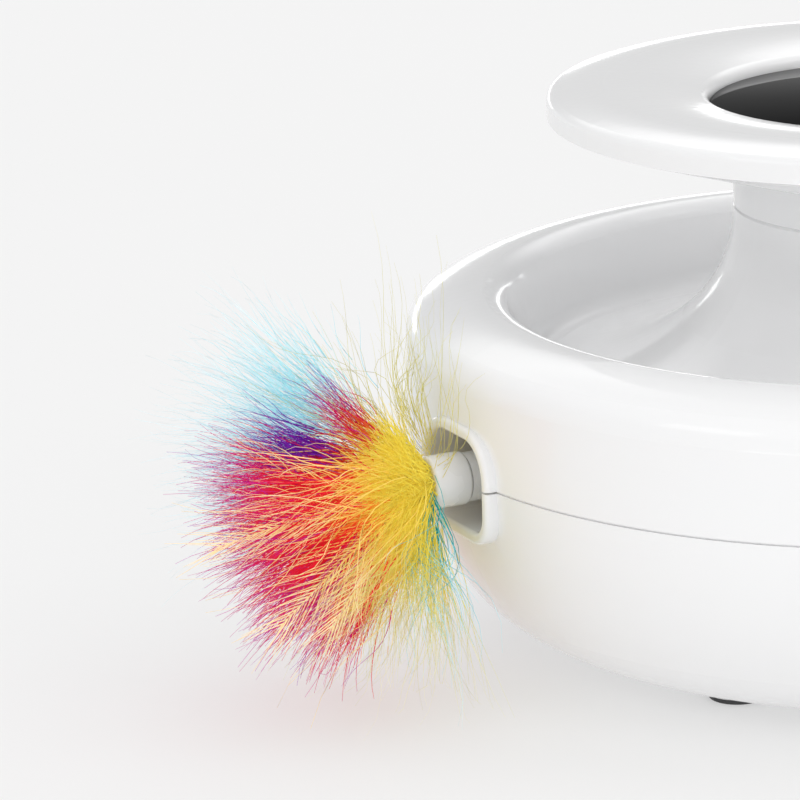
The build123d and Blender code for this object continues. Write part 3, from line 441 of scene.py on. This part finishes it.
def addVane(hairs, draw, vane, thick):
    heading = headingOf(vane["fan"], vane["depth"])
    pull = Vector((0, 0, -vaneSet["droop"]))
    shaft = hairPath(plumeRoot, heading, pull, vane["length"])
    addHair(hairs, shaft, vaneSet["shaftThick"] * thick, vaneSet["shaftShade"])
    across = heading.cross(frontward).normalized()
    for i in range(2 * vane["barbs"]):
        share = vaneSet["firstBarb"] + vaneSet["barbRun"] * (i // 2) / vane["barbs"]
        start = plumeRoot + vane["length"] * (heading * share + pull * share ** 2)
        degrees = vane["opening"] * (vaneSet["openRoot"] - vaneSet["openFall"] * share)
        opening = math.radians(degrees + draw.uniform(-vaneSet["openAny"], vaneSet["openAny"]))
        side = across if i % 2 else -across
        going = math.cos(opening) * heading + math.sin(opening) * side
        length = draw.uniform(*vane["barb"]) * (vaneSet["longRoot"] - vaneSet["longFall"] * share)
        bend = vaneSet["forward"] * heading + anyWay(draw, vaneSet["barbCurl"])
        addHair(hairs, hairPath(start, going, bend, length), thick, draw.random())


# dyed by the distance from the root; glow is painted light, an emission in the dye's colour that stands in
# for the light passing through the down
downSet = {"blotScale": 90.0, "shadeShift": 0.2, "blotShift": 0.25, "darkest": 0.78, "least": 0.5,
           "spread": 0.2, "specular": 0.15}


def dyedDownWithPaintedGlow(name, stops, glow):
    fixed = {"Specular_IOR_Level": downSet["specular"], "Emission_Strength": glow}
    material, wire, place, shader = newFinish(name, **fixed)
    along = wire.node("Attribute", {"attribute_name": "fromRoot"}, out="Fac")
    shade = wire.node("Attribute", {"attribute_name": "strandShade"}, out="Fac")
    blot = noise(wire, place, downSet["blotScale"])
    spot = along + (shade - 0.5) * downSet["shadeShift"] + (blot - 0.5) * downSet["blotShift"]
    dye = wire.node("ValToRGB", {"stops": stops}, {"Fac": spot})
    tone = shade.mix(opaque(grey(downSet["darkest"])), opaque(grey(1.0)))
    toned = wire.blend(1.0, dye, tone, "MULTIPLY")
    wire.put(shader.inputs["Base Color"], toned)
    # painted glow: the down gives off light in its own dyed colour, though it is no lamp
    wire.put(shader.inputs["Emission Color"], toned)
    wire.put(shader.inputs["Roughness"], shade * downSet["spread"] + downSet["least"])
    return material


draw = random.Random(plumeSet["seed"])
for spray in sprays:
    hairs = {"points": [], "faces": [], "fromRoot": [], "strandShade": []}
    for i in range(spray["clumps"]):
        addClump(hairs, draw, spray)
    for vane in spray.get("vanes", []):
        addVane(hairs, draw, vane, spray["thick"])
    dye = dyedDownWithPaintedGlow(spray["name"] + "Dye", spray["stops"], spray["glow"])
    piece = newPiece(spray["name"], hairs["points"], hairs["faces"], dye)
    for key in ("fromRoot", "strandShade"):
        piece.data.attributes.new(key, "FLOAT", "POINT").data.foreach_set("value", hairs[key])
    piece.data.shade_smooth()
    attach(piece, "plunger")
    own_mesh(piece)
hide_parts("feather_plume")


# plain pale floor, a sheet lit softly from below
floorSet = {"half": 6.0, "colour": grey(0.42), "shade": grey(0.41), "glow": 0.455, "roughness": 0.9,
            "specular": 0.1, "fibreScale": 3.0}


def floorPaper():
    fixed = {"Roughness": floorSet["roughness"], "Specular_IOR_Level": floorSet["specular"],
             "Emission_Color": opaque(grey(1.0)), "Emission_Strength": floorSet["glow"]}
    material, wire, place, shader = newFinish("floorPaper", **fixed)
    fibre = noise(wire, place, floorSet["fibreScale"])
    wire.put(shader.inputs["Base Color"], fibre.mix(opaque(floorSet["colour"]), opaque(floorSet["shade"])))
    return material


half = floorSet["half"]
corners = [(-half, -half, 0), (half, -half, 0), (half, half, 0), (-half, half, 0)]
floor = newPiece("floor", corners, [(0, 1, 2, 3)], floorPaper())
print("floor laid")


# camera: aimed at the column, then turned left and tilted up
aim = Vector((0, 0, cameraSet["aimHeight"]))
eye = aim + stand(0, cameraSet["elevation"], cameraSet["distance"])
ahead = (aim - eye).normalized()
right = ahead.cross(Vector((0, 0, 1))).normalized()
left, tilt = math.radians(cameraSet["turnLeft"]), math.radians(cameraSet["tiltUp"])
upward = right.cross(ahead)
turnedRight = right * math.cos(left) + ahead * math.sin(left)
ahead = ahead * math.cos(left) - right * math.sin(left)
ahead = ahead * math.cos(tilt) + upward * math.sin(tilt)
upward = turnedRight.cross(ahead)
camera = bpy.data.objects.new("camera", bpy.data.cameras.new("camera"))
camera.data.lens = cameraSet["lens"]
camera.data.sensor_width = cameraSet["sensor"]
camera.matrix_world = Matrix.Translation(eye) @ Matrix((turnedRight, upward, -ahead)).transposed().to_4x4()
bpy.context.collection.objects.link(camera)
bpy.context.scene.camera = camera
print("camera aimed")


# lamps turned to the camera's aim, sizes in metres
lampSet = {
    "leftBox": {"heading": -48, "elevation": 40, "distance": 4.0, "size": (1.4, 1.0), "watts": 9.0},
    "rightBox": {"heading": 52, "elevation": 40, "distance": 4.0, "size": (1.4, 1.0), "watts": 7.0},
    "floorCard": {"heading": 6, "elevation": 0.5, "distance": 0.42, "size": (0.6, 0.05), "watts": 0.35},
    "sideBox": {"heading": 97, "elevation": 52, "distance": 3.0, "size": (0.9, 0.9), "watts": 4.5},
    "backStrip": {"heading": 180, "elevation": 4.0, "distance": 2.4, "size": (3.0, 0.25), "watts": 4.0},
}
for name, lamp in lampSet.items():
    light = bpy.data.lights.new(name, "AREA")
    light.shape = "RECTANGLE"
    light.size, light.size_y = lamp["size"]
    light.energy = lamp["watts"]
    holder = bpy.data.objects.new(name, light)
    holder.location = stand(lamp["heading"], lamp["elevation"], lamp["distance"])
    holder.rotation_euler = (aim - holder.location).to_track_quat("-Z", "Y").to_euler()
    holder.visible_camera = False
    bpy.context.collection.objects.link(holder)


# brightness of the light tent and of the dark card behind the part, by the sine of the height above level
# cardEdge is the card's share, by the cosine of the angle from straight behind
skySet = {
    "tent": [(0.0, 1.0), (0.1, 0.84), (0.22, 0.62), (0.42, 0.7), (0.6, 0.88), (0.8, 0.94), (1.0, 0.98)],
    "card": [(0.0, 0.95), (0.05, 0.7), (0.11, 0.42), (0.21, 0.18), (0.31, 0.04), (0.38, 0.1), (0.48, 1.2),
             (0.6, 2.1), (0.85, 1.7), (1.0, 0.98)],
    "cardEdge": [(0.5, 0.0), (0.86, 1.0)],
    "strength": 1.08,
}


def greyRamp(wire, stops, value):
    shades = [(place, grey(level)) for place, level in stops]
    return wire.node("ValToRGB", {"stops": shades}, {"Fac": value})


world = bpy.data.worlds.new("studio")
world.use_nodes = True
bpy.context.scene.world = world
sky = Wire(world.node_tree)
look = sky.node("TexCoord", out="Generated")
height = sky.node("SeparateXYZ", {}, {0: look}, out="Z")
behind = sky.node("VectorMath", {"operation": "DOT_PRODUCT"}, {0: look, 1: stand(180, 0, 1.0)}, out="Value")
tent = greyRamp(sky, skySet["tent"], height)
card = greyRamp(sky, skySet["card"], height)
cardShare = greyRamp(sky, skySet["cardEdge"], behind)
backdrop = next(node for node in world.node_tree.nodes if node.type == "BACKGROUND")
sky.put(backdrop.inputs["Color"], cardShare.mix(tent, card))
backdrop.inputs["Strength"].default_value = skySet["strength"]
bpy.context.scene.view_settings.view_transform = "Standard"
print("lamps and light tent in place")
